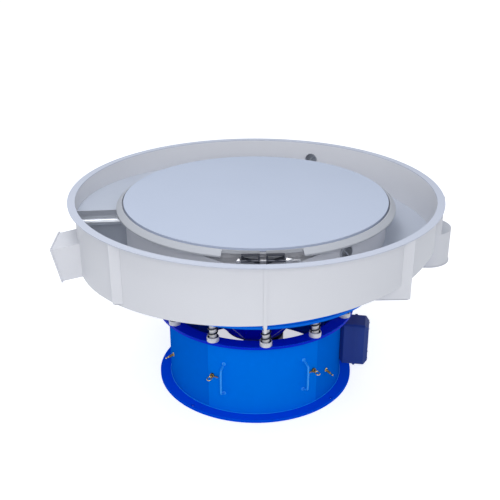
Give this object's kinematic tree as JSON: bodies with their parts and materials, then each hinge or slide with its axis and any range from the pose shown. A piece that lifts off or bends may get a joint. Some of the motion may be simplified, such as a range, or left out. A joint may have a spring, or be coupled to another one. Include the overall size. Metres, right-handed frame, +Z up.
{
  "type": "vibrating sieve",
  "caption": "Round vibrating sieve: screen deck ringed by a spiral discharge trough, on coil springs over a drum base with a motor inside.",
  "frame": {"origin": "centre of the base flange's underside, on the machine's axis", "axes": "+Z up along the machine's axis, -Y to the front, where the access panel is, and -X to the discharge chute"},
  "size_m": [1.8469, 1.714, 0.959],
  "materials": {
    "base_paint": "gloss blue paint",
    "frame_paint": "gloss blue paint",
    "motor_paint": "dark blue paint",
    "box_paint": "navy paint",
    "deck_paint": "satin light grey paint",
    "cup_plastic": "white nylon",
    "spring_steel": "black coated spring steel",
    "bolt_steel": "plain steel",
    "brass": "dull brass",
    "gland_plastic": "black nylon",
    "core_steel": "machined",
    "gasket_rubber": "black rubber",
    "screen_metal": "fine woven wire"
  },
  "bodies": {
    "base": {"base_flange": "base_paint", "drum": "base_paint", "spring_ring": "base_paint", "lower_spring_cups": "cup_plastic", "springs": "spring_steel", "terminal_box": "box_paint", "terminal_cover": "box_paint", "box_screws": "bolt_steel", "cable_gland": "gland_plastic", "grease_fittings": "brass"},
    "panel": {"access_panel": "base_paint", "panel_handles": "base_paint"},
    "latch_left": {"latch_left": "brass"},
    "latch_right": {"latch_right": "brass"},
    "deck": {"frame_plate": "frame_paint", "motor_tube": "frame_paint", "gussets": "frame_paint", "upper_spring_cups": "cup_plastic", "motor_housing": "motor_paint", "motor_top_cover": "motor_paint", "motor_bottom_cover": "motor_paint", "stator_core": "core_steel", "motor_bolts": "bolt_steel", "frame_collar": "frame_paint", "inner_shell": "deck_paint", "shell_panels": "deck_paint", "shell_flange": "deck_paint", "dome_pan": "deck_paint", "bolt_recesses": "deck_paint", "floor_back_left": "deck_paint", "floor_back_right": "deck_paint", "floor_landing": "deck_paint", "floor_front_right": "deck_paint", "floor_front_left": "deck_paint", "step_plate": "deck_paint", "trough_wall_left": "deck_paint", "trough_wall_right": "deck_paint", "rim_left": "deck_paint", "rim_right": "deck_paint", "seam_strap_front": "deck_paint", "seam_strap_back": "deck_paint", "discharge_chute": "deck_paint", "corner_box_left": "deck_paint", "corner_box_right": "deck_paint", "fines_duct": "deck_paint", "fines_spout": "deck_paint", "rim_stay": "deck_paint", "clamp_band_left": "deck_paint", "clamp_band_right": "deck_paint", "clamp_lugs": "deck_paint", "clamp_bolts": "bolt_steel", "clamp_nuts": "bolt_steel", "port_collars": "deck_paint"},
    "rotor": {"motor_shaft": "core_steel", "rotor_core": "core_steel", "upper_weight": "core_steel", "lower_weight": "core_steel"},
    "screen": {"gasket": "gasket_rubber", "screen_ring": "screen_metal", "screen_mesh": "screen_metal"}
  },
  "joints": [
    {"name": "deck_bounce", "type": "slide", "parent": "base", "child": "deck", "axis": [0, 0, 1], "range_m": [-0.006, 0.006], "stiffness_N_per_m": 620000, "springref_m": 0.00816, "deforming": ["springs"]},
    {"name": "rotor_spin", "type": "hinge", "parent": "deck", "child": "rotor", "pos_m": [0, 0, 0.41], "axis": [0, 0, 1], "continuous": true},
    {"name": "screen_lift", "type": "slide", "parent": "deck", "child": "screen", "axis": [0, 0, 1], "range_m": [0, 0.3]},
    {"name": "panel_lift", "type": "slide", "parent": "base", "child": "panel", "axis": [0.055, -0.9985, 0], "range_m": [0, 0.3]},
    {"name": "latch_left_turn", "type": "hinge", "parent": "panel", "child": "latch_left", "pos_m": [-0.21767, -0.38239, 0.194], "axis": [-0.4947, -0.8691, 0], "range_deg": [0, 90]},
    {"name": "latch_right_turn", "type": "hinge", "parent": "panel", "child": "latch_right", "pos_m": [0.25832, -0.35619, 0.194], "axis": [0.5871, -0.8095, 0], "range_deg": [-90, 0]}
  ]
}
